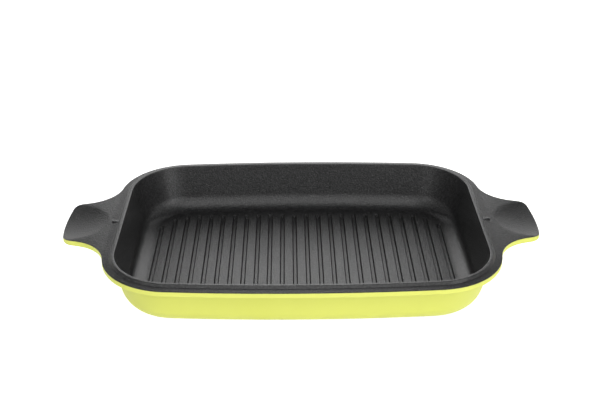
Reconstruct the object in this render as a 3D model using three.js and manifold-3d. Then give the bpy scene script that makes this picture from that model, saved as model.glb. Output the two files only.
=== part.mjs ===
// Roasting pan with a grooved floor: a die-cast aluminium body with two flat grips, a dark non-stick
// lining over its whole upper side, and a lime enamel over its edge, underside and outer wall.
// Millimetres, +Z up. The origin is the middle of the base, and the long side runs along X.
import * as THREE from 'three';
import { mergeVertices } from 'three/addons/utils/BufferGeometryUtils.js';
import Module from 'manifold-3d';

const degrees = THREE.MathUtils.degToRad;

// Rim plate, seen from above, without the grips
const RIM_LENGTH = 350;
const RIM_DEPTH = 256.6;
const RIM_CORNER_RADIUS = 64.2;
const LONG_SIDE_BOW = 3.7;
const RIM_TOP = 45.2;
const PLATE_THICKNESS = 5.6;
const PLATE_EDGE_RADIUS = 1.6;

// Grips, which taper from a round neck to a gently curved tip
const GRIP_REACH = 43.2;
const GRIP_TIP_WIDTH = 66.4;
const GRIP_TAPER = degrees(15);
const GRIP_NECK_RADIUS = 37.8;
const GRIP_TIP_RADIUS = 152;
const GRIP_CORNER_RADIUS = 11.4;

// Thumb hollow in each grip, a shallow ball-shaped dish that runs out at the tip
const HOLLOW_RADIUS = 33.5;
const HOLLOW_DEPTH = 3;
const HOLLOW_SETBACK = 5.2;
const HOLLOW_FLAT = 1;

// Small raised bar between each hollow and the bead
const BAR_LENGTH = 5.1;
const BAR_WIDTH = 2.8;
const BAR_HEIGHT = 1.6;

// Raised bead round the opening, with a steep outer side, a top that falls inwards and a round lip
const OPENING_INSET = 11.1;
const BEAD_WIDTH = 5;
const BEAD_HEIGHT = 2.7;
const BEAD_SLOPE = degrees(58);
const BEAD_FALL = degrees(6);
const LIP_RADIUS = 1.2;

// Bowl
const WALL_DRAFT = degrees(15.5);
const WALL_THICKNESS = 4.2;
const FLOOR_UNDER_GROOVES = 2.5;
const INNER_FILLET = 19;
const OUTER_FILLET = 20.5;
const UNDERSIDE_FILLET = 3;

// Bare machined foot under the bowl
const FOOT_HEIGHT = 0.6;
const FOOT_MARGIN = 1.2;

// Floor grooves, which run across the pan and run out at their ends on a rounded outline
const GROOVE_PITCH = 12;
const GROOVE_WIDTH = 4.4;
const GROOVE_DEPTH = 2.5;
const GROOVE_DRAFT = degrees(17);
const GROOVE_RUN_OUT = degrees(20);
const GROOVE_OVERRUN = 1;
const FIELD_CORNER_RADIUS = 40;
const FIELD_END_MARGIN = 6;
const FIELD_SIDE_MARGIN = 3;

// Coats, drawn thicker than the real ones, and the gap that keeps each clear of the casting
const LINING = 0.4;
const ENAMEL = 0.4;
const COAT_GAP = 0.3;

// Steps of the round stretches
const CORNER_STEPS = 8;
const SIDE_STEPS = 3;
const NECK_STEPS = 5;
const TIP_STEPS = 3;
const FILLET_STEPS = 5;
const LIP_STEPS = 4;
const EDGE_STEPS = 2;
const GROOVE_END_STEPS = 3;
const HOLLOW_STEPS = 30;
const HOLLOW_RINGS = 3;

// Room by which blocks and cutters reach past what they cut, and the distance at which points are one
const REACH = 20;
const OVERLAP = 2;
const SAME_POINT = 1e-6;

const wasm = await Module();
wasm.setup();

const halfLength = RIM_LENGTH / 2;
const halfDepth = RIM_DEPTH / 2;
const plateBottom = RIM_TOP - PLATE_THICKNESS;
const beadTop = RIM_TOP + BEAD_HEIGHT;
const gripTip = halfLength + GRIP_REACH;
const floorTop = FLOOR_UNDER_GROOVES + GROOVE_DEPTH;

// Outlines: lists of points with outward normals, so that a whole outline can be drawn in or out
function arc(centre, radius, from, to, steps, side = 1) {
  return Array.from({ length: steps + 1 }, (_, step) => {
    const angle = from + (to - from) * step / steps;
    const normal = new THREE.Vector2(Math.cos(angle), Math.sin(angle));
    return { point: normal.clone().multiplyScalar(radius).add(centre), normal: normal.multiplyScalar(side) };
  });
}

function closeByMirrors(quadrant) {
  const flip = (sx, sy) => quadrant.map(({ point, normal }) => ({
    point: new THREE.Vector2(point.x * sx, point.y * sy),
    normal: new THREE.Vector2(normal.x * sx, normal.y * sy),
  }));
  const loop = [...flip(1, 1), ...flip(-1, 1).reverse(), ...flip(-1, -1), ...flip(1, -1).reverse()];
  const joined = (a, b) => a.point.distanceTo(b.point) < SAME_POINT;
  return loop.filter((entry, i) => !joined(entry, loop[(i + 1) % loop.length]));
}

// Centre that lies at one distance from a line and another from a fixed point, furthest along the line
function centreBetween(linePoint, lineDirection, lineNormal, offset, target, distance) {
  const start = lineNormal.clone().multiplyScalar(offset).add(linePoint);
  const toTarget = start.clone().sub(target);
  const half = toTarget.dot(lineDirection);
  const travel = -half + Math.sqrt(half * half - toTarget.lengthSq() + distance * distance);
  return lineDirection.clone().multiplyScalar(travel).add(start);
}

const angleTo = (from, to) => Math.atan2(to.y - from.y, to.x - from.x);

// Rim: round corners joined by straight short sides and slightly bowed long sides
const cornerX = halfLength - RIM_CORNER_RADIUS;
const sideRadius = (cornerX ** 2 + LONG_SIDE_BOW ** 2) / (2 * LONG_SIDE_BOW);
const sideCentre = new THREE.Vector2(0, halfDepth - sideRadius);
const cornerY = sideCentre.y + Math.sqrt((sideRadius - RIM_CORNER_RADIUS) ** 2 - cornerX ** 2);
const cornerCentre = new THREE.Vector2(cornerX, cornerY);
const blendAngle = angleTo(sideCentre, cornerCentre);
const longSide = arc(sideCentre, sideRadius, blendAngle, Math.PI / 2, SIDE_STEPS).slice(1);
const rimLoop = closeByMirrors([
  ...arc(cornerCentre, RIM_CORNER_RADIUS, 0, blendAngle, CORNER_STEPS),
  ...longSide,
]);

// Plate: the rim with a grip at each end
function plateQuadrant() {
  const tip = new THREE.Vector2(gripTip, 0);
  const tipCentre = new THREE.Vector2(tip.x - GRIP_TIP_RADIUS, 0);
  const sidePoint = new THREE.Vector2(tip.x, GRIP_TIP_WIDTH / 2);
  const tipward = new THREE.Vector2(Math.cos(GRIP_TAPER), -Math.sin(GRIP_TAPER));
  const outward = new THREE.Vector2(Math.sin(GRIP_TAPER), Math.cos(GRIP_TAPER));
  const sideAngle = Math.PI / 2 - GRIP_TAPER;
  const tipCorner = centreBetween(sidePoint, tipward, outward, -GRIP_CORNER_RADIUS,
    tipCentre, GRIP_TIP_RADIUS - GRIP_CORNER_RADIUS);
  const neck = centreBetween(sidePoint, tipward, outward, GRIP_NECK_RADIUS,
    cornerCentre, RIM_CORNER_RADIUS + GRIP_NECK_RADIUS);
  const tipAngle = angleTo(tipCentre, tipCorner);
  const neckEnd = angleTo(cornerCentre, neck);
  return [
    ...arc(tipCentre, GRIP_TIP_RADIUS, 0, tipAngle, TIP_STEPS),
    ...arc(tipCorner, GRIP_CORNER_RADIUS, tipAngle, sideAngle, TIP_STEPS).slice(1),
    ...arc(neck, GRIP_NECK_RADIUS, sideAngle + Math.PI, neckEnd + Math.PI, NECK_STEPS, -1),
    ...arc(cornerCentre, RIM_CORNER_RADIUS, neckEnd, blendAngle, CORNER_STEPS).slice(1),
    ...longSide,
  ];
}
const plateLoop = closeByMirrors(plateQuadrant());

// Solid through level rings that have the same number of points, closed by two caps
function stack(rings) {
  const count = rings[0].length;
  const indices = [];
  for (let level = 0; level + 1 < rings.length; level += 1) {
    for (let i = 0; i < count; i += 1) {
      const a = level * count + i;
      const b = level * count + (i + 1) % count;
      indices.push(a, b, b + count, a, b + count, a + count);
    }
  }
  for (const [a, b, c] of THREE.ShapeUtils.triangulateShape(rings[0], [])) {
    indices.push(a, c, b);
  }
  const last = rings.length - 1;
  for (const face of THREE.ShapeUtils.triangulateShape(rings[last], [])) {
    indices.push(...face.map((i) => last * count + i));
  }
  return solidOf(new THREE.BufferGeometry().setFromPoints(rings.flat()).setIndex(indices));
}

// Loft of one outline through sections that each have their own inset and height
function loft(loop, sections) {
  return stack(sections.map(({ inset, z }) => loop.map(({ point, normal }) => (
    new THREE.Vector3(point.x - normal.x * inset, point.y - normal.y * inset, z)
  ))));
}

function solidOf(geometry) {
  return new wasm.Manifold(new wasm.Mesh({
    numProp: 3,
    vertProperties: Float32Array.from(geometry.getAttribute('position').array),
    triVerts: Uint32Array.from(geometry.getIndex().array),
  }));
}

function box(sizeX, sizeY, sizeZ, centre) {
  const geometry = new THREE.BoxGeometry(sizeX, sizeY, sizeZ).translate(centre.x, centre.y, centre.z);
  geometry.deleteAttribute('normal');
  geometry.deleteAttribute('uv');
  return solidOf(mergeVertices(geometry));
}

// Prism of an outline between two heights
const prism = (loop, inset, from, to) => loft(loop, [{ inset, z: from }, { inset, z: to }]);

// Stretch of a section drawn as an arc, from one direction to another, in inset and height
function sectionArc(centre, radius, from, to, steps) {
  return Array.from({ length: steps + 1 }, (_, step) => {
    const angle = from + (to - from) * step / steps;
    return { inset: centre.inset + radius * Math.cos(angle), z: centre.z + radius * Math.sin(angle) };
  });
}

// Section of the bowl: lip, inner wall, inner fillet, outer wall and outer fillet share one draft
const wallNormal = { inset: Math.cos(WALL_DRAFT), z: Math.sin(WALL_DRAFT) };
const across = ({ inset, z }) => inset * wallNormal.inset + z * wallNormal.z;
const insetAt = (distance, z) => (distance - z * wallNormal.z) / wallNormal.inset;
const crestInset = OPENING_INSET - BEAD_WIDTH + BEAD_HEIGHT / Math.tan(BEAD_SLOPE);
const lipCentre = { inset: OPENING_INSET - LIP_RADIUS };
const lipFall = (lipCentre.inset - crestInset) * Math.tan(BEAD_FALL);
lipCentre.z = beadTop - lipFall - LIP_RADIUS / Math.cos(BEAD_FALL);
const innerWall = across(lipCentre) + LIP_RADIUS;
const outerWall = innerWall - WALL_THICKNESS;
const innerFillet = { z: floorTop + INNER_FILLET };
innerFillet.inset = insetAt(innerWall + INNER_FILLET, innerFillet.z);
const outerFillet = { z: FOOT_HEIGHT + OUTER_FILLET };
outerFillet.inset = insetAt(outerWall + OUTER_FILLET, outerFillet.z);
const underFillet = { z: plateBottom - UNDERSIDE_FILLET };
underFillet.inset = insetAt(outerWall - UNDERSIDE_FILLET, underFillet.z);

// Bead: a skin draws in its steep side, its falling top and the rim's upper face at its foot
function beadSide(z, skin) {
  const inset = crestInset + (z - beadTop) / Math.tan(BEAD_SLOPE) + skin / Math.sin(BEAD_SLOPE);
  return { inset, z };
}

const beadFoot = (skin) => beadSide(RIM_TOP - skin, skin);

function beadCrest(skin) {
  const fall = Math.tan(BEAD_FALL);
  const drop = fall / Math.sin(BEAD_SLOPE) + 1 / Math.cos(BEAD_FALL);
  return beadSide(beadTop - skin * drop / (1 + fall / Math.tan(BEAD_SLOPE)), skin);
}

// Tray: everything under the bead and inside of the bowl, with the upper face drawn in by a skin
function tray(skin) {
  const foot = beadFoot(skin);
  return loft(rimLoop, [
    { inset: foot.inset - OVERLAP, z: -REACH - skin },
    { inset: foot.inset - OVERLAP, z: foot.z },
    foot,
    beadCrest(skin),
    ...sectionArc(lipCentre, LIP_RADIUS - skin, Math.PI / 2 - BEAD_FALL, WALL_DRAFT, LIP_STEPS),
    ...sectionArc(innerFillet, INNER_FILLET + skin, Math.PI + WALL_DRAFT, Math.PI * 1.5, FILLET_STEPS),
  ]);
}

// Thumb hollow: a ball segment over each grip
function hollow(side, skin) {
  const ball = (HOLLOW_RADIUS ** 2 + HOLLOW_DEPTH ** 2) / (2 * HOLLOW_DEPTH);
  const centre = { x: side * (gripTip - HOLLOW_SETBACK), z: RIM_TOP - HOLLOW_DEPTH + ball };
  const widest = HOLLOW_RADIUS + OVERLAP;
  const rings = Array.from({ length: HOLLOW_RINGS + 1 }, (_, ring) => {
    const spread = Math.asin((HOLLOW_FLAT + (widest - HOLLOW_FLAT) * ring / HOLLOW_RINGS) / ball);
    return { inset: -(ball + skin) * Math.sin(spread), z: centre.z - (ball + skin) * Math.cos(spread) };
  });
  const axis = new THREE.Vector2(centre.x, 0);
  const loop = arc(axis, 0, 0, 2 * Math.PI, HOLLOW_STEPS).slice(1);
  return loft(loop, [...rings, { inset: rings.at(-1).inset, z: RIM_TOP + REACH }]);
}

// Small bar, which runs out of the bead
function bar(side, skin) {
  const inner = halfLength - lipCentre.inset;
  const length = halfLength - beadFoot(0).inset + BAR_LENGTH - skin - inner;
  const height = BAR_HEIGHT + OVERLAP;
  const top = RIM_TOP + BAR_HEIGHT - skin;
  const centre = new THREE.Vector3(side * (inner + length / 2), 0, top - height / 2);
  return box(length, BAR_WIDTH - 2 * skin, height, centre);
}

// Floor grooves: as many as the flat floor takes
const floorHalfLength = halfLength - innerFillet.inset;
const floorHalfDepth = halfDepth - innerFillet.inset;
const grooveCount = 1 + Math.floor(2 * (floorHalfLength + GROOVE_OVERRUN) / GROOVE_PITCH);

function grooveHalfLength(x) {
  const cornerStart = floorHalfLength + FIELD_END_MARGIN - FIELD_CORNER_RADIUS;
  const past = Math.max(0, Math.abs(x) + GROOVE_WIDTH / 2 - cornerStart);
  const drop = FIELD_CORNER_RADIUS - Math.sqrt(FIELD_CORNER_RADIUS ** 2 - past ** 2);
  return floorHalfDepth - FIELD_SIDE_MARGIN - drop;
}

function groove(index, skin) {
  const x = (index - (grooveCount - 1) / 2) * GROOVE_PITCH;
  const ring = (z) => {
    const rise = z - floorTop;
    const radius = GROOVE_WIDTH / 2 + rise * Math.tan(GROOVE_DRAFT) + skin / Math.cos(GROOVE_DRAFT);
    const end = grooveHalfLength(x) + rise / Math.tan(GROOVE_RUN_OUT) + skin / Math.sin(GROOVE_RUN_OUT);
    const outline = [
      ...arc(new THREE.Vector2(x, end - radius), radius, 0, Math.PI, GROOVE_END_STEPS),
      ...arc(new THREE.Vector2(x, radius - end), radius, Math.PI, 2 * Math.PI, GROOVE_END_STEPS),
    ];
    return outline.map(({ point }) => new THREE.Vector3(point.x, point.y, z));
  };
  return stack([ring(FLOOR_UNDER_GROOVES - skin), ring(floorTop + OVERLAP)]);
}

// Everything that lies under the upper face, which a skin draws in, out to an edge past the plate
function underUpperFace(skin, edge) {
  const hole = prism(rimLoop, lipCentre.inset, -REACH - OVERLAP, RIM_TOP + REACH);
  let solid = prism(plateLoop, -edge, -REACH - skin, RIM_TOP - skin).subtract(hole).add(tray(skin));
  for (const side of [-1, 1]) {
    solid = solid.add(bar(side, skin)).subtract(hollow(side, skin));
  }
  for (let index = 0; index < grooveCount; index += 1) {
    solid = solid.subtract(groove(index, skin));
  }
  return solid;
}

// Everything inside the outer face, which a coat draws in: plate with a rounded lower edge, and bowl
function insideOuterFace(coat) {
  const edge = { inset: PLATE_EDGE_RADIUS, z: plateBottom + PLATE_EDGE_RADIUS };
  const plate = loft(plateLoop, [
    ...sectionArc(edge, PLATE_EDGE_RADIUS - coat, -Math.PI / 2, -Math.PI, EDGE_STEPS),
    { inset: coat, z: RIM_TOP + REACH },
  ]);
  const flare = sectionArc(underFillet, UNDERSIDE_FILLET + coat, WALL_DRAFT, Math.PI / 2, EDGE_STEPS);
  const bowl = loft(rimLoop, [
    ...sectionArc(outerFillet, OUTER_FILLET - coat, -Math.PI / 2, WALL_DRAFT - Math.PI, FILLET_STEPS),
    ...flare,
    { inset: flare.at(-1).inset, z: plateBottom + OVERLAP },
  ]);
  return plate.add(bowl);
}

// Casting
function castBody() {
  const foot = prism(rimLoop, outerFillet.inset + FOOT_MARGIN, 0, FLOOR_UNDER_GROOVES);
  const outside = insideOuterFace(ENAMEL + COAT_GAP).add(foot);
  return outside.intersect(underUpperFace(LINING + COAT_GAP, OVERLAP));
}

// Non-stick lining
function nonstickLining() {
  return underUpperFace(0, 0).subtract(underUpperFace(LINING, OVERLAP));
}

// Lime enamel
function outerEnamel() {
  const bareFoot = prism(rimLoop, outerFillet.inset + FOOT_MARGIN - COAT_GAP, -REACH, floorTop);
  const block = insideOuterFace(0).intersect(underUpperFace(LINING + COAT_GAP, OVERLAP));
  return block.subtract(insideOuterFace(ENAMEL)).subtract(bareFoot);
}

function meshOf(name, solid, material) {
  const { vertProperties, triVerts } = solid.getMesh();
  const geometry = new THREE.BufferGeometry();
  geometry.setAttribute('position', new THREE.BufferAttribute(vertProperties, 3));
  geometry.setIndex(new THREE.BufferAttribute(triVerts, 1));
  geometry.computeVertexNormals();
  const mesh = new THREE.Mesh(geometry, material);
  mesh.name = name;
  return mesh;
}

const aluminium = new THREE.MeshStandardMaterial({ color: 0xb9bbbd, roughness: 0.45, metalness: 1 });
const nonstick = new THREE.MeshStandardMaterial({ color: 0x37373a, roughness: 0.45, metalness: 0 });
const lime = new THREE.MeshStandardMaterial({ color: 0xdfe46a, roughness: 0.3, metalness: 0 });

const pan = new THREE.Group();
pan.add(
  meshOf('cast_body', castBody(), aluminium),
  meshOf('nonstick_lining', nonstickLining(), nonstick),
  meshOf('outer_enamel', outerEnamel(), lime),
);

export default pan;
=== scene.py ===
"""Looks of a roasting pan: a cast aluminium body, a dark speckled non-stick lining and a lime enamel.

Sizes are in millimetres in the part's frame, with +Z up and the origin in the middle of the base."""
import math
from typing import NamedTuple

import bmesh
import bpy
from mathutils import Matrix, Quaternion, Vector
from mathutils.geometry import tessellate_polygon


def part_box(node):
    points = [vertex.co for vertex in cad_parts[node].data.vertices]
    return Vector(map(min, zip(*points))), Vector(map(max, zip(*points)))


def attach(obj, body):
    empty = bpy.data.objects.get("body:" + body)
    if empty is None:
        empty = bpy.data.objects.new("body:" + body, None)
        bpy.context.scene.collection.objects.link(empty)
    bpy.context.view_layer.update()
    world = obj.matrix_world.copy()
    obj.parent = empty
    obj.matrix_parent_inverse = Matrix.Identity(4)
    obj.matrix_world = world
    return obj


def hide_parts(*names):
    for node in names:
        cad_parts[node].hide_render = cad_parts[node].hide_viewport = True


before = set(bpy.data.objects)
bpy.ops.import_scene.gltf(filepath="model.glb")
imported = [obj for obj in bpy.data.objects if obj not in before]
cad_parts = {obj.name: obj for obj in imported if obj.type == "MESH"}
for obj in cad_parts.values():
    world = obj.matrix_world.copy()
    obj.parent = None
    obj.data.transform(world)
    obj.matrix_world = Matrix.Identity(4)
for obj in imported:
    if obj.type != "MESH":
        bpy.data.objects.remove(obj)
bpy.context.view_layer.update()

MM = 0.001
LINING_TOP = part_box("nonstick_lining")[1] / MM

# Rim plate, seen from above
HALF_OVERALL = LINING_TOP.x
HALF_DEPTH = LINING_TOP.y
HALF_LENGTH = 175.0
CORNER_RADIUS = 64.2
SIDE_BOW = 3.7
PLATE_THICKNESS = 5.6
PLATE_TOP_EDGE = 0.3
PLATE_LOWER_EDGE = 1.6

# Grips
GRIP_TIP_HALF_WIDTH = 33.2
GRIP_TAPER = math.radians(15)
GRIP_NECK_RADIUS = 37.8
GRIP_TIP_RADIUS = 152.0
GRIP_CORNER_RADIUS = 11.4

# Thumb hollow in each grip
HOLLOW_RADIUS = 33.5
HOLLOW_DEPTH = 3.0
HOLLOW_SETBACK = 5.2
HOLLOW_SOFTNESS = 0.2

# Small bar beside each hollow
BAR_LENGTH = 6.1
BAR_WIDTH = 3.4
BAR_HEIGHT = 1.2
BAR_CORNER = 0.7
BAR_ROUNDING = 0.3
BAR_FALL = math.radians(5)
BAR_SUNK = 0.4

# Bead round the opening, and the plate that rises to it
OPENING_INSET = 11.1
BEAD_WIDTH = 5.0
BEAD_HEIGHT = 2.7
BEAD_SLOPE = math.radians(48)
PLATE_RISE = math.radians(5)
BEAD_FALL = math.radians(2)
BEAD_FOOT_RADIUS = 0.4
CREST_RADIUS = 0.8
LIP_RADIUS = 1.2
BEAD_TOP = LINING_TOP.z
RIM_TOP = BEAD_TOP - BEAD_HEIGHT

# Bowl
WALL_DRAFT = math.radians(15.5)
WALL_THICKNESS = 4.2
FLOOR_TOP = 5.0
INNER_FILLET = 19.0
OUTER_FILLET = 20.5
UNDERSIDE_FILLET = 3.0
FLOOR_REACH = 3.8
END_HOLLOW = 3.2
END_HOLLOW_POWER = 8
CORNER_FILL = 1.0

# Bare foot
FOOT_HEIGHT = 0.6
FOOT_MARGIN = 1.2
FOOT_CHAMFER = 0.25

# Floor grooves and the field that they fill
GROOVE_COUNT = 24
GROOVE_PITCH = 12.0
GROOVE_WIDTH = 4.4
GROOVE_DEPTH = 2.5
GROOVE_DRAFT = math.radians(20)
GROOVE_RUN_OUT = math.radians(30)
GROOVE_TOP_ROUNDING = 0.2
GROOVE_BOTTOM_ROUNDING = 0.3
FIELD_CORNER_RADIUS = 40.0
FIELD_END_MARGIN = 6.0
FIELD_SIDE_MARGIN = 3.0

# Coats and the gap under each
LINING = 0.4
ENAMEL = 0.4
COAT_GAP = 0.3
LEAST_RADIUS = 0.02
SEAM = 0.05

# Steps of the round stretches
TIP_STEPS = 16
TIP_CORNER_STEPS = 8
TAPER_STEPS = 10
NECK_STEPS = 20
CORNER_STEPS = 36
SIDE_STEPS = 24
PLATE_STEPS = 30
UNDERSIDE_STEPS = 4
EDGE_STEPS = 5
LIP_STEPS = 8
CREST_STEPS = 5
BEAD_FOOT_STEPS = 4
WALL_STEPS = 4
FILLET_STEPS = 18
GROOVE_END_STEPS = 10
GROOVE_ROUND_STEPS = 3
BAR_CORNER_STEPS = 4
SHARP_ANGLE = math.radians(40)

# Materials share the span of values that most of a noise lies in; scales are per metre, bumps in metres
NOISE_SPAN = (0.3, 0.7)

# Non-stick coat
GRAIN_SCALE = 700
GRAIN_ROUGHNESS = 0.6
GRAIN_SPAN = (0.35, 0.65)
GRAIN_BUMP = 0.00042
GRAIN_BUMP_STRENGTH = 0.7
GROUND_DARK = (0.002, 0.002, 0.0021)
GROUND_PALE = (0.026, 0.026, 0.0266)
FLECK_SCALE = 900
FLECK_DETAIL = 1.0
FLECK_SPAN = (0.62, 0.74)
FLECK_COLOUR = (0.06, 0.06, 0.06)
SATIN_SCALE = 900
SATIN_ROUGHNESS = (0.3, 0.37)
COAT_IOR = 1.5

# Lime enamel
LIME_DEEP = (0.79, 0.825, 0.178)
LIME_PALE = (0.815, 0.85, 0.193)
LIME_CLOUD_SCALE = 18
LIME_CLOUD_DETAIL = 3.0
LIME_GLOSS_SCALE = 60
LIME_ROUGHNESS = (0.4, 0.48)
LIME_PEEL_SCALE = 260
LIME_BUMP = 0.00004
LIME_BUMP_STRENGTH = 0.25
LIME_SPECULAR = 0.15

# Bare aluminium
TURNING_SCALE = 160
TURNING_DISTORTION = 0.4
TURNING_DETAIL = 1.0
TURNING_ROUGHNESS = (0.3, 0.42)
TURNING_BUMP = 0.00005
TURNING_BUMP_STRENGTH = 0.5
METAL_DARK = (0.62, 0.62, 0.63)
METAL_PALE = (0.72, 0.72, 0.73)
METAL_TONE_SCALE = 40
METAL_TONE_DETAIL = 4.0

# Camera, solved from the photograph, whose frame is 600 by 400 pixels
FRAME_WIDTH = 600
FOCAL_PIXELS = 1046.8
SENSOR_WIDTH = 36.0
CAMERA_TARGET = Vector((0.24, 124.3, 3.0))
CAMERA_DISTANCE = 1101.5
CAMERA_AZIMUTH = math.radians(-0.67)
CAMERA_ELEVATION = math.radians(26.87)
CAMERA_ROLL = math.radians(-0.12)

# Stage, in metres; the world dims over a span of the sine of elevation
WHITE = (1, 1, 1, 1)
FLOOR_SIZE = 12.0
FLOOR_COLOUR = (0.8, 0.8, 0.8, 1)
FLOOR_ROUGHNESS = 0.9
FLOOR_LIFT = 0.86
BACKDROP_DISTANCE = 1.7
BACKDROP_WIDTH = 5.0
BACKDROP_HEIGHT = 0.76
BACKDROP_GLOW = 0.75
WORLD_LOW = 0.35
WORLD_HIGH = 0.05
WORLD_FADE = (0.2, 0.5)


# Lamps
class Lamp(NamedTuple):
    """Soft box that looks at the pan, in degrees, metres and watts; it leans about its own axis."""

    name: str
    azimuth: float
    elevation: float
    distance: float
    size: tuple
    power: float
    lean: float = 0


LAMPS = [
    Lamp("right_soft_box", azimuth=44, elevation=27, distance=1.63, size=(0.45, 1.6), power=12, lean=-33),
    Lamp("left_soft_box", azimuth=-44, elevation=27, distance=1.63, size=(0.45, 1.6), power=6, lean=33),
    Lamp("front_soft_box", azimuth=0, elevation=46, distance=1.8, size=(1.0, 1.8), power=13.2),
    Lamp("back_soft_box", azimuth=180, elevation=36, distance=0.85, size=(0.52, 0.66), power=2.35),
    Lamp("right_panel", azimuth=100, elevation=30, distance=1.8, size=(1.2, 1.0), power=2.2),
    Lamp("left_panel", azimuth=-100, elevation=30, distance=1.8, size=(1.2, 1.0), power=1.1),
]


# Outlines
class Station(NamedTuple):
    """A point of the plate's outline and the rim point beside it, each with its outward normal."""

    edge: Vector
    edge_out: Vector
    rim: Vector
    rim_out: Vector


def arc(centre, radius, start, end, steps, side=1):
    """Points of an arc, with normals that point away from its centre or, with side -1, towards it."""
    made = []
    for step in range(steps + 1):
        angle = start + (end - start) * step / steps
        normal = Vector((math.cos(angle), math.sin(angle)))
        made.append((centre + normal * radius, normal * side))
    return made


def angle_to(start, end):
    return math.atan2(end.y - start.y, end.x - start.x)


def centre_between(line_point, direction, normal, offset, target, distance):
    """The centre at one distance from a line and another from a fixed point, furthest along the line."""
    start = line_point + normal * offset
    away = start - target
    half = away.dot(direction)
    travel = -half + math.sqrt(half ** 2 - away.length_squared + distance ** 2)
    return start + direction * travel


CORNER_X = HALF_LENGTH - CORNER_RADIUS
SIDE_RADIUS = (CORNER_X ** 2 + SIDE_BOW ** 2) / (2 * SIDE_BOW)
SIDE_CENTRE = Vector((0, HALF_DEPTH - SIDE_RADIUS))
CORNER_Y = SIDE_CENTRE.y + math.sqrt((SIDE_RADIUS - CORNER_RADIUS) ** 2 - CORNER_X ** 2)
CORNER_CENTRE = Vector((CORNER_X, CORNER_Y))
BLEND_ANGLE = angle_to(SIDE_CENTRE, CORNER_CENTRE)


def plate_quadrant():
    """The plate's outline from the middle of a grip's tip to the middle of a long side."""
    tip_centre = Vector((HALF_OVERALL - GRIP_TIP_RADIUS, 0))
    side_point = Vector((HALF_OVERALL, GRIP_TIP_HALF_WIDTH))
    tipward = Vector((math.cos(GRIP_TAPER), -math.sin(GRIP_TAPER)))
    outward = Vector((math.sin(GRIP_TAPER), math.cos(GRIP_TAPER)))
    side_angle = math.pi / 2 - GRIP_TAPER
    tip_corner = centre_between(side_point, tipward, outward, -GRIP_CORNER_RADIUS,
                                tip_centre, GRIP_TIP_RADIUS - GRIP_CORNER_RADIUS)
    neck = centre_between(side_point, tipward, outward, GRIP_NECK_RADIUS,
                          CORNER_CENTRE, CORNER_RADIUS + GRIP_NECK_RADIUS)
    tip_angle = angle_to(tip_centre, tip_corner)
    neck_angle = angle_to(CORNER_CENTRE, neck)
    tip = arc(tip_centre, GRIP_TIP_RADIUS, 0, tip_angle, TIP_STEPS)
    corner = arc(tip_corner, GRIP_CORNER_RADIUS, tip_angle, side_angle, TIP_CORNER_STEPS)
    bend = arc(neck, GRIP_NECK_RADIUS, side_angle + math.pi, neck_angle + math.pi, NECK_STEPS, -1)
    taper_start = corner[-1][0]
    taper_end = bend[0][0]
    shares = [step / TAPER_STEPS for step in range(1, TAPER_STEPS)]
    taper = [(taper_start.lerp(taper_end, share), outward) for share in shares]
    rim = arc(CORNER_CENTRE, CORNER_RADIUS, neck_angle, BLEND_ANGLE, CORNER_STEPS)
    long_side = arc(SIDE_CENTRE, SIDE_RADIUS, BLEND_ANGLE, math.pi / 2, SIDE_STEPS)
    return tip + corner[1:] + taper + bend + rim[1:] + long_side[1:]


def rim_beside(point):
    """The rim point nearest to a point of the plate's outline, with its normal."""
    if point.y <= CORNER_Y:
        return Vector((HALF_LENGTH, point.y)), Vector((1, 0))
    centre, radius = CORNER_CENTRE, CORNER_RADIUS
    if angle_to(CORNER_CENTRE, point) > BLEND_ANGLE:
        centre, radius = SIDE_CENTRE, SIDE_RADIUS
    normal = (point - centre).normalized()
    return centre + normal * radius, normal


def all_stations():
    """Stations all round the plate, anticlockwise from above, mirrored from one quadrant."""
    quadrant = [Station(*entry, *rim_beside(entry[0])) for entry in plate_quadrant()]

    def mirrored(sign_x, sign_y):
        signs = Vector((sign_x, sign_y))
        return [Station(*(part * signs for part in station)) for station in quadrant]

    right_back = mirrored(1, 1)
    left_back = mirrored(-1, 1)[::-1]
    left_front = mirrored(-1, -1)
    right_front = mirrored(1, -1)[::-1]
    return right_back[:-1] + left_back[:-1] + left_front[:-1] + right_front[:-1]


STATIONS = all_stations()


# Section of the bowl, as pairs of inset from the rim and height
def section_arc(centre, radius, start, end, steps):
    angles = [start + (end - start) * step / steps for step in range(steps + 1)]
    return [centre + Vector((math.cos(angle), math.sin(angle))) * radius for angle in angles]


WALL_NORMAL = Vector((math.cos(WALL_DRAFT), math.sin(WALL_DRAFT)))


def inset_at(distance, height):
    """Inset at a height of a line that lies at a distance along the wall's normal."""
    return (distance - height * WALL_NORMAL.y) / WALL_NORMAL.x


def fillet_centre(distance, height):
    return Vector((inset_at(distance, height), height))


PLATE_BOTTOM = RIM_TOP - PLATE_THICKNESS
BEAD_FOOT_INSET = OPENING_INSET - BEAD_WIDTH
BEAD_FOOT = Vector((BEAD_FOOT_INSET, RIM_TOP + BEAD_FOOT_INSET * math.tan(PLATE_RISE)))
CREST = Vector((BEAD_FOOT.x + (BEAD_TOP - BEAD_FOOT.y) / math.tan(BEAD_SLOPE), BEAD_TOP))
LIP_INSET = OPENING_INSET - LIP_RADIUS
LIP_DROP = (LIP_INSET - CREST.x) * math.tan(BEAD_FALL) + LIP_RADIUS / math.cos(BEAD_FALL)
LIP_CENTRE = Vector((LIP_INSET, BEAD_TOP - LIP_DROP))
INNER_WALL = LIP_CENTRE.dot(WALL_NORMAL) + LIP_RADIUS
OUTER_WALL = INNER_WALL - WALL_THICKNESS
INNER_CENTRE = fillet_centre(INNER_WALL + INNER_FILLET, FLOOR_TOP + INNER_FILLET)
OUTER_CENTRE = fillet_centre(OUTER_WALL + OUTER_FILLET, FOOT_HEIGHT + OUTER_FILLET)
UNDER_CENTRE = fillet_centre(OUTER_WALL - UNDERSIDE_FILLET, PLATE_BOTTOM - UNDERSIDE_FILLET)


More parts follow.
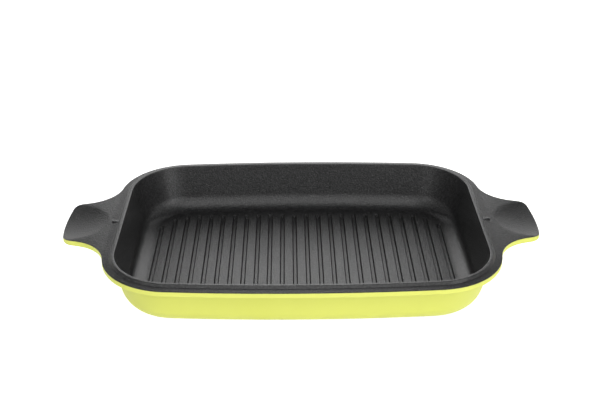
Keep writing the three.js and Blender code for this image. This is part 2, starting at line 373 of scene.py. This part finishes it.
def rounding_centre(corner, first, last, radius):
    """Centre of a rounding between two faces whose normals point in the given directions."""
    normals = [Vector((math.cos(angle), math.sin(angle))) for angle in (first, last)]
    return corner - (normals[0] + normals[1]) * radius / (1 + normals[0].dot(normals[1]))


def bead_section(skin):
    """The bead from its foot over its crest and its falling top to the lip, drawn in by a skin."""
    level = math.pi / 2
    slope = level + BEAD_SLOPE
    top = level - BEAD_FALL
    rise = level + PLATE_RISE
    foot_centre = rounding_centre(BEAD_FOOT, rise, slope, -BEAD_FOOT_RADIUS)
    crest_centre = rounding_centre(CREST, slope, top, CREST_RADIUS)
    foot = section_arc(foot_centre, -BEAD_FOOT_RADIUS - skin, rise, slope, BEAD_FOOT_STEPS)
    crest = section_arc(crest_centre, CREST_RADIUS - skin, slope, top, CREST_STEPS)
    lip = section_arc(LIP_CENTRE, LIP_RADIUS - skin, top, WALL_DRAFT, LIP_STEPS)
    return foot + crest + lip


def fillet_section(centre, radius):
    """A fillet between the wall and the level below it."""
    return section_arc(centre, radius, math.pi + WALL_DRAFT, math.pi * 1.5, FILLET_STEPS)


def wall_section(top, bottom):
    """Points inside the straight stretch of wall between two points."""
    return [top.lerp(bottom, step / WALL_STEPS) for step in range(1, WALL_STEPS)]


def plate_height(point, skin):
    """Height of the plate's upper face, drawn in by a skin, with the thumb hollows in it."""
    ball = (HOLLOW_RADIUS ** 2 + HOLLOW_DEPTH ** 2) / (2 * HOLLOW_DEPTH)
    away = Vector((abs(point.x) - (HALF_OVERALL - HOLLOW_SETBACK), point.y)).length
    ball_height = RIM_TOP - HOLLOW_DEPTH + ball - math.sqrt(max(0, (ball + skin) ** 2 - away ** 2))
    depth = RIM_TOP - skin - ball_height
    return RIM_TOP - skin - (depth + math.hypot(depth, HOLLOW_SOFTNESS)) / 2


# Rings of points round the pan
def lifted(point, height):
    return Vector((point.x, point.y, height))


def rim_ring(inset, height):
    return [lifted(station.rim - station.rim_out * inset, height) for station in STATIONS]


def rim_rings(section):
    return [rim_ring(inset, height) for inset, height in section]


def fillet_rings(fillet):
    """Rings of the inner fillet: its foot reaches outwards, its ends are hollowed and its corners filled."""
    rings = []
    for step, (inset, height) in enumerate(fillet):
        reach = FLOOR_REACH * (step / FILLET_STEPS) ** 2
        belly = math.sin(math.pi * step / FILLET_STEPS) ** 2
        ring = []
        for station in STATIONS:
            end = station.rim_out.x ** END_HOLLOW_POWER
            corner = (2 * station.rim_out.x * station.rim_out.y) ** 2
            hollow = END_HOLLOW * end - CORNER_FILL * corner
            point = station.rim - station.rim_out * (inset - reach - belly * hollow)
            ring.append(lifted(point, height))
        rings.append(ring)
    return rings


def edge_ring(inset, drop):
    """Ring that follows the plate's outline, a drop below its upper face."""
    ring = []
    for station in STATIONS:
        point = station.edge - station.edge_out * inset
        ring.append(lifted(point, plate_height(station.edge, 0) - drop))
    return ring


def level_edge_ring(inset, height):
    return [lifted(station.edge - station.edge_out * inset, height) for station in STATIONS]


def between(edge_inset, rim_inset, share):
    """Plan points a share of the way from the plate's outline to the rim."""
    points = []
    for station in STATIONS:
        edge = station.edge - station.edge_out * edge_inset
        rim = station.rim - station.rim_out * rim_inset
        points.append(edge.lerp(rim, share))
    return points


def plate_ring(points, skin):
    """Ring of the plate's upper face, which rises inside the rim."""
    ring = []
    for station, point in zip(STATIONS, points):
        outside = (point - station.rim).dot(station.rim_out)
        rise = max(0, -outside) * math.tan(PLATE_RISE)
        ring.append(lifted(point, plate_height(point, skin) + rise))
    return ring


def upper_rings(skin):
    """Rings of the upper face, drawn in by a skin, from the plate's edge over the bead to the floor."""
    rounding = max(PLATE_TOP_EDGE - skin, LEAST_RADIUS)
    centre = skin + rounding
    edge = section_arc(Vector((centre, centre)), rounding, math.pi, math.pi * 1.5, EDGE_STEPS)
    rings = [edge_ring(inset, drop) for inset, drop in edge]
    bead = bead_section(skin)
    for step in range(1, PLATE_STEPS):
        rings.append(plate_ring(between(centre, bead[0].x, step / PLATE_STEPS), skin))
    fillet = fillet_section(INNER_CENTRE, INNER_FILLET + skin)
    wall = wall_section(bead[-1], fillet[0])
    return rings + rim_rings(bead + wall) + fillet_rings(fillet)


def outer_rings(coat):
    """Rings of the outer face, drawn in by a coat, from the plate's edge under the plate to the base."""
    lower = Vector((PLATE_LOWER_EDGE, PLATE_BOTTOM + PLATE_LOWER_EDGE))
    edge = section_arc(lower, PLATE_LOWER_EDGE - coat, math.pi, math.pi * 1.5, EDGE_STEPS)
    flare = section_arc(UNDER_CENTRE, UNDERSIDE_FILLET + coat, math.pi / 2, WALL_DRAFT, EDGE_STEPS)
    fillet = fillet_section(OUTER_CENTRE, OUTER_FILLET - coat)
    wall = wall_section(flare[-1], fillet[0])
    rings = [edge_ring(coat, PLATE_TOP_EDGE + SEAM + coat / 2)]
    rings += [level_edge_ring(inset, height) for inset, height in edge]
    for step in range(1, UNDERSIDE_STEPS):
        points = between(PLATE_LOWER_EDGE, flare[0].x, step / UNDERSIDE_STEPS)
        rings.append([lifted(point, PLATE_BOTTOM + coat) for point in points])
    return rings + rim_rings(flare + wall + fillet)


# Grooves
def groove_half_length(x):
    floor_half_length = HALF_LENGTH - INNER_CENTRE.x
    floor_half_depth = HALF_DEPTH - INNER_CENTRE.x
    corner_start = floor_half_length + FIELD_END_MARGIN - FIELD_CORNER_RADIUS
    past = max(0, abs(x) + GROOVE_WIDTH / 2 - corner_start)
    drop = FIELD_CORNER_RADIUS - math.sqrt(FIELD_CORNER_RADIUS ** 2 - past ** 2)
    return floor_half_depth - FIELD_SIDE_MARGIN - drop


def groove_section(skin):
    """Pairs of offset from the groove's outline and height, from the floor to the groove's bottom."""
    top = max(GROOVE_TOP_ROUNDING - skin, LEAST_RADIUS)
    bottom = GROOVE_BOTTOM_ROUNDING + skin
    sine, cosine = math.sin(GROOVE_DRAFT), math.cos(GROOVE_DRAFT)
    floor = FLOOR_TOP - skin
    widen = skin / cosine - skin * math.tan(GROOVE_DRAFT)
    top_offset = widen + top * (1 - sine) / cosine
    bottom_offset = widen - (bottom + (GROOVE_DEPTH - bottom) * sine) / cosine
    top_centre = Vector((top_offset, floor - top))
    bottom_centre = Vector((bottom_offset, floor - GROOVE_DEPTH + bottom))
    over = section_arc(top_centre, top, math.pi / 2, math.pi - GROOVE_DRAFT, GROOVE_ROUND_STEPS)
    under = section_arc(bottom_centre, bottom, -GROOVE_DRAFT, -math.pi / 2, GROOVE_ROUND_STEPS)
    return over + under


def groove_rings(index, skin):
    """Rings of one groove, whose ends draw in as it gets deeper, so that its bottom runs out gently."""
    x = (index - (GROOVE_COUNT - 1) / 2) * GROOVE_PITCH
    rings = []
    for offset, height in groove_section(skin):
        radius = GROOVE_WIDTH / 2 + offset
        run_out = (height - FLOOR_TOP) / math.tan(GROOVE_RUN_OUT) + skin / math.sin(GROOVE_RUN_OUT)
        reach = groove_half_length(x) + run_out - radius
        ends = arc(Vector((x, reach)), radius, 0, math.pi, GROOVE_END_STEPS)
        ends += arc(Vector((x, -reach)), radius, math.pi, 2 * math.pi, GROOVE_END_STEPS)
        rings.append([lifted(point, height) for point, normal in ends])
    return rings


# Solids, built up ring by ring
def add_object(name, data):
    made = bpy.data.objects.new(name, data)
    bpy.context.scene.collection.objects.link(made)
    return made


class Solid:
    """Vertices and faces of one closed piece."""

    def __init__(self):
        self.vertices = []
        self.faces = []

    def add_ring(self, points):
        first = len(self.vertices)
        self.vertices.extend(points)
        return list(range(first, len(self.vertices)))

    def bridge(self, near, far):
        for i, here in enumerate(near):
            after = (i + 1) % len(near)
            self.faces.append((here, near[after], far[after], far[i]))

    def add_rings(self, rings):
        """Adds a band through the rings and returns its first and last ring."""
        made = [self.add_ring(points) for points in rings]
        for near, far in zip(made, made[1:]):
            self.bridge(near, far)
        return made[0], made[-1]

    def fill(self, outline, holes=()):
        """Closes a level outline, leaving the holes open."""
        loops = [outline, *holes]
        corners = [corner for loop in loops for corner in loop]
        for face in tessellate_polygon([[self.vertices[i] for i in loop] for loop in loops]):
            self.faces.append(tuple(corners[i] for i in face))

    def add_upper_face(self, skin):
        """Adds the whole upper face with its grooves and returns the ring at the plate's edge."""
        edge, floor_rim = self.add_rings(upper_rings(skin))
        mouths = []
        for index in range(GROOVE_COUNT):
            mouth, bottom = self.add_rings(groove_rings(index, skin))
            self.fill(bottom)
            mouths.append(mouth)
        self.fill(floor_rim, mouths)
        return edge

    def make(self, name, material):
        mesh = bpy.data.meshes.new(name)
        mesh.from_pydata([vertex * MM for vertex in self.vertices], [], self.faces)
        work = bmesh.new()
        work.from_mesh(mesh)
        bmesh.ops.recalc_face_normals(work, faces=work.faces)
        work.to_mesh(mesh)
        work.free()
        mesh.shade_smooth()
        mesh.set_sharp_from_angle(angle=SHARP_ANGLE)
        mesh.materials.append(material)
        piece = add_object(name, mesh)
        piece.modifiers.new("weighted_normals", "WEIGHTED_NORMAL").keep_sharp = True
        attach(piece, "root")
        return piece


def make_lining(material):
    solid = Solid()
    face_edge = solid.add_upper_face(0)
    back_edge = solid.add_upper_face(LINING)
    solid.bridge(face_edge, back_edge)
    return solid.make("lining", material)


def make_enamel(material):
    solid = Solid()
    bare = OUTER_CENTRE.x + FOOT_MARGIN - COAT_GAP
    face = outer_rings(0) + [rim_ring(bare, FOOT_HEIGHT)]
    back = outer_rings(ENAMEL) + [rim_ring(bare, FOOT_HEIGHT + ENAMEL)]
    face_top, face_base = solid.add_rings(face)
    back_top, back_base = solid.add_rings(back)
    solid.bridge(face_top, back_top)
    solid.bridge(face_base, back_base)
    return solid.make("enamel", material)


def make_casting(material):
    solid = Solid()
    upper_edge = solid.add_upper_face(LINING + COAT_GAP)
    coat = ENAMEL + COAT_GAP
    foot = OUTER_CENTRE.x + FOOT_MARGIN
    rings = outer_rings(coat) + [
        rim_ring(foot, FOOT_HEIGHT + coat),
        rim_ring(foot, FOOT_CHAMFER),
        rim_ring(foot + FOOT_CHAMFER, 0),
    ]
    outer_edge, base = solid.add_rings(rings)
    solid.bridge(upper_edge, outer_edge)
    solid.fill(base)
    return solid.make("casting", material)


def make_bar(name, side, material):
    """Small rounded bar that runs out of the bead towards a grip's tip, with a top that falls inwards."""
    inner = HALF_LENGTH - LIP_CENTRE.x
    outer = HALF_LENGTH - BEAD_FOOT.x + BAR_LENGTH
    half_width = BAR_WIDTH / 2
    corners = [
        (Vector((outer - BAR_CORNER, half_width - BAR_CORNER)), 0),
        (Vector((inner + BAR_CORNER, half_width - BAR_CORNER)), math.pi / 2),
        (Vector((inner + BAR_CORNER, BAR_CORNER - half_width)), math.pi),
        (Vector((outer - BAR_CORNER, BAR_CORNER - half_width)), math.pi * 1.5),
    ]
    outline = []
    for centre, start in corners:
        outline += arc(centre, BAR_CORNER, start, start + math.pi / 2, BAR_CORNER_STEPS)
    top = Vector((BAR_ROUNDING, RIM_TOP + BAR_HEIGHT - BAR_ROUNDING))
    section = [Vector((0, RIM_TOP - BAR_SUNK))]
    section += section_arc(top, BAR_ROUNDING, math.pi, math.pi / 2, BAR_CORNER_STEPS)
    rings = []
    for inset, height in section:
        points = [point - normal * inset for point, normal in outline]
        ring = []
        for point in points:
            fall = (outer - point.x) * math.tan(BAR_FALL)
            ring.append(Vector((side * point.x, point.y, height - fall)))
        rings.append(ring)
    solid = Solid()
    low, high = solid.add_rings(rings)
    solid.fill(low)
    solid.fill(high)
    return solid.make(name, material)


# Materials
class Nodes:
    """Short calls for building one material's nodes."""

    def __init__(self, name):
        self.material = bpy.data.materials.new(name)
        self.material.use_nodes = True
        self.tree = self.material.node_tree
        self.shader = self.tree.nodes["Principled BSDF"]

    def add(self, kind, **settings):
        node = self.tree.nodes.new(kind)
        for key, value in settings.items():
            setattr(node, key, value)
        return node

    def link(self, source, target):
        self.tree.links.new(source, target)

    def drive(self, socket, source):
        self.link(source, self.shader.inputs[socket])

    def set(self, socket, value):
        self.shader.inputs[socket].default_value = value

    def place(self):
        return self.add("ShaderNodeTexCoord").outputs["Object"]

    def noise(self, scale, detail=2.0, roughness=0.5):
        node = self.add("ShaderNodeTexNoise")
        node.inputs["Scale"].default_value = scale
        node.inputs["Detail"].default_value = detail
        node.inputs["Roughness"].default_value = roughness
        self.link(self.place(), node.inputs["Vector"])
        return node.outputs["Fac"]

    def spread(self, source, span, result=(0, 1)):
        """Maps a span of a value onto a result's span."""
        node = self.add("ShaderNodeMapRange")
        node.inputs["From Min"].default_value, node.inputs["From Max"].default_value = span
        node.inputs["To Min"].default_value, node.inputs["To Max"].default_value = result
        self.link(source, node.inputs["Value"])
        return node.outputs["Result"]

    def mix(self, share, first, second):
        """Mixes two colours, each written out or taken from another node."""
        node = self.add("ShaderNodeMix", data_type="RGBA")
        self.link(share, node.inputs["Factor"])
        for socket, colour in (("A", first), ("B", second)):
            target = next(s for s in node.inputs if s.name == socket and s.type == "RGBA")
            if isinstance(colour, bpy.types.NodeSocket):
                self.link(colour, target)
            else:
                target.default_value = (*colour, 1)
        return next(s for s in node.outputs if s.type == "RGBA")

    def bump(self, height, distance, strength):
        node = self.add("ShaderNodeBump")
        node.inputs["Distance"].default_value = distance
        node.inputs["Strength"].default_value = strength
        self.link(height, node.inputs["Height"])
        self.drive("Normal", node.outputs["Normal"])


def nonstick_material():
    """Dark satin coat with a fine mineral grain and pale flecks."""
    nodes = Nodes("nonstick")
    grain = nodes.noise(GRAIN_SCALE, roughness=GRAIN_ROUGHNESS)
    flecks = nodes.spread(nodes.noise(FLECK_SCALE, FLECK_DETAIL), FLECK_SPAN)
    ground = nodes.mix(nodes.spread(grain, GRAIN_SPAN), GROUND_DARK, GROUND_PALE)
    nodes.drive("Base Color", nodes.mix(flecks, ground, FLECK_COLOUR))
    nodes.drive("Roughness", nodes.spread(nodes.noise(SATIN_SCALE), NOISE_SPAN, SATIN_ROUGHNESS))
    nodes.bump(grain, GRAIN_BUMP, GRAIN_BUMP_STRENGTH)
    nodes.set("IOR", COAT_IOR)
    return nodes.material


def enamel_material():
    """Lime half-gloss enamel with a faint unevenness of colour and surface."""
    nodes = Nodes("lime_enamel")
    cloud = nodes.spread(nodes.noise(LIME_CLOUD_SCALE, LIME_CLOUD_DETAIL), NOISE_SPAN)
    nodes.drive("Base Color", nodes.mix(cloud, LIME_DEEP, LIME_PALE))
    nodes.drive("Roughness", nodes.spread(nodes.noise(LIME_GLOSS_SCALE), NOISE_SPAN, LIME_ROUGHNESS))
    nodes.bump(nodes.noise(LIME_PEEL_SCALE), LIME_BUMP, LIME_BUMP_STRENGTH)
    nodes.set("Specular IOR Level", LIME_SPECULAR)
    return nodes.material


def aluminium_material():
    """Bare aluminium, turned in fine rings about the middle of the base."""
    nodes = Nodes("turned_aluminium")
    rings = nodes.add("ShaderNodeTexWave", wave_type="RINGS", rings_direction="Z")
    rings.inputs["Scale"].default_value = TURNING_SCALE
    rings.inputs["Distortion"].default_value = TURNING_DISTORTION
    rings.inputs["Detail"].default_value = TURNING_DETAIL
    nodes.link(nodes.place(), rings.inputs["Vector"])
    turning = rings.outputs["Fac"]
    tone = nodes.spread(nodes.noise(METAL_TONE_SCALE, METAL_TONE_DETAIL), NOISE_SPAN)
    nodes.drive("Base Color", nodes.mix(tone, METAL_DARK, METAL_PALE))
    nodes.drive("Roughness", nodes.spread(turning, (0, 1), TURNING_ROUGHNESS))
    nodes.bump(turning, TURNING_BUMP, TURNING_BUMP_STRENGTH)
    nodes.set("Metallic", 1.0)
    return nodes.material


# Pieces of the pan
nonstick = nonstick_material()
lining = make_lining(nonstick)
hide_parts("nonstick_lining")
enamel = make_enamel(enamel_material())
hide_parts("outer_enamel")
casting = make_casting(aluminium_material())
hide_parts("cast_body")
for bar_name, bar_side in (("left_bar", -1), ("right_bar", 1)):
    make_bar(bar_name, bar_side, nonstick)


# Camera and lamps, which look at the pan
def direction_from_pan(azimuth, elevation):
    """Direction whose azimuth runs from the front to the right."""
    level = math.cos(elevation)
    return Vector((math.sin(azimuth) * level, -math.cos(azimuth) * level, math.sin(elevation)))


def aim(thing, away, roll):
    """Turns a camera or lamp back along the direction that it lies in, rolled about its own axis."""
    thing.rotation_mode = "QUATERNION"
    thing.rotation_quaternion = (-away).to_track_quat("-Z", "Y") @ Quaternion((0, 0, 1), roll)


def make_camera():
    data = bpy.data.cameras.new("camera")
    data.sensor_width = SENSOR_WIDTH
    data.lens = SENSOR_WIDTH * FOCAL_PIXELS / FRAME_WIDTH
    camera = add_object("camera", data)
    away = direction_from_pan(CAMERA_AZIMUTH, CAMERA_ELEVATION)
    camera.location = (CAMERA_TARGET + away * CAMERA_DISTANCE) * MM
    aim(camera, away, CAMERA_ROLL)
    bpy.context.scene.camera = camera


def make_light(lamp):
    data = bpy.data.lights.new(lamp.name, "AREA")
    data.shape = "RECTANGLE"
    data.size, data.size_y = lamp.size
    data.energy = lamp.power
    light = add_object(lamp.name, data)
    away = direction_from_pan(math.radians(lamp.azimuth), math.radians(lamp.elevation))
    light.location = away * lamp.distance
    aim(light, away, math.radians(lamp.lean))


# Stage
def make_sheet(name, corners, material):
    mesh = bpy.data.meshes.new(name)
    mesh.from_pydata(corners, [], [(0, 1, 2, 3)])
    mesh.materials.append(material)
    sheet = add_object(name, mesh)


def make_floor():
    """Pale floor that shows white where no shadow falls."""
    nodes = Nodes("pale_floor")
    nodes.set("Base Color", FLOOR_COLOUR)
    nodes.set("Roughness", FLOOR_ROUGHNESS)
    nodes.set("Specular IOR Level", 0.0)
    nodes.set("Emission Color", WHITE)
    rays = nodes.add("ShaderNodeLightPath")
    seen = nodes.add("ShaderNodeMath", operation="MAXIMUM")
    nodes.link(rays.outputs["Is Camera Ray"], seen.inputs[0])
    nodes.link(rays.outputs["Is Glossy Ray"], seen.inputs[1])
    nodes.drive("Emission Strength", nodes.spread(seen.outputs[0], (0, 1), (0, FLOOR_LIFT)))
    half = FLOOR_SIZE / 2
    corners = [(-half, -half, 0), (half, -half, 0), (half, half, 0), (-half, half, 0)]
    make_sheet("floor", corners, nodes.material)


def make_backdrop():
    """White backdrop behind the pan, which its level faces mirror."""
    nodes = Nodes("white_backdrop")
    nodes.set("Base Color", FLOOR_COLOUR)
    nodes.set("Emission Color", WHITE)
    nodes.set("Emission Strength", BACKDROP_GLOW)
    nodes.set("Specular IOR Level", 0.0)
    half = BACKDROP_WIDTH / 2
    low = [(half, BACKDROP_DISTANCE, 0), (-half, BACKDROP_DISTANCE, 0)]
    high = [(-half, BACKDROP_DISTANCE, BACKDROP_HEIGHT), (half, BACKDROP_DISTANCE, BACKDROP_HEIGHT)]
    make_sheet("backdrop", low + high, nodes.material)


def make_world():
    """Pale surroundings under a dark ceiling."""
    world = bpy.data.worlds.new("studio")
    world.use_nodes = True
    tree = world.node_tree
    place = tree.nodes.new("ShaderNodeTexCoord")
    parts = tree.nodes.new("ShaderNodeSeparateXYZ")
    level = tree.nodes.new("ShaderNodeMapRange")
    level.interpolation_type = "SMOOTHSTEP"
    level.inputs["From Min"].default_value, level.inputs["From Max"].default_value = WORLD_FADE
    level.inputs["To Min"].default_value = WORLD_LOW
    level.inputs["To Max"].default_value = WORLD_HIGH
    background = tree.nodes["Background"]
    background.inputs["Color"].default_value = WHITE
    tree.links.new(place.outputs["Generated"], parts.inputs["Vector"])
    tree.links.new(parts.outputs["Z"], level.inputs["Value"])
    tree.links.new(level.outputs["Result"], background.inputs["Strength"])
    bpy.context.scene.world = world


make_camera()
make_floor()
make_backdrop()
make_world()
for lamp in LAMPS:
    make_light(lamp)
bpy.context.scene.view_settings.view_transform = "Standard"
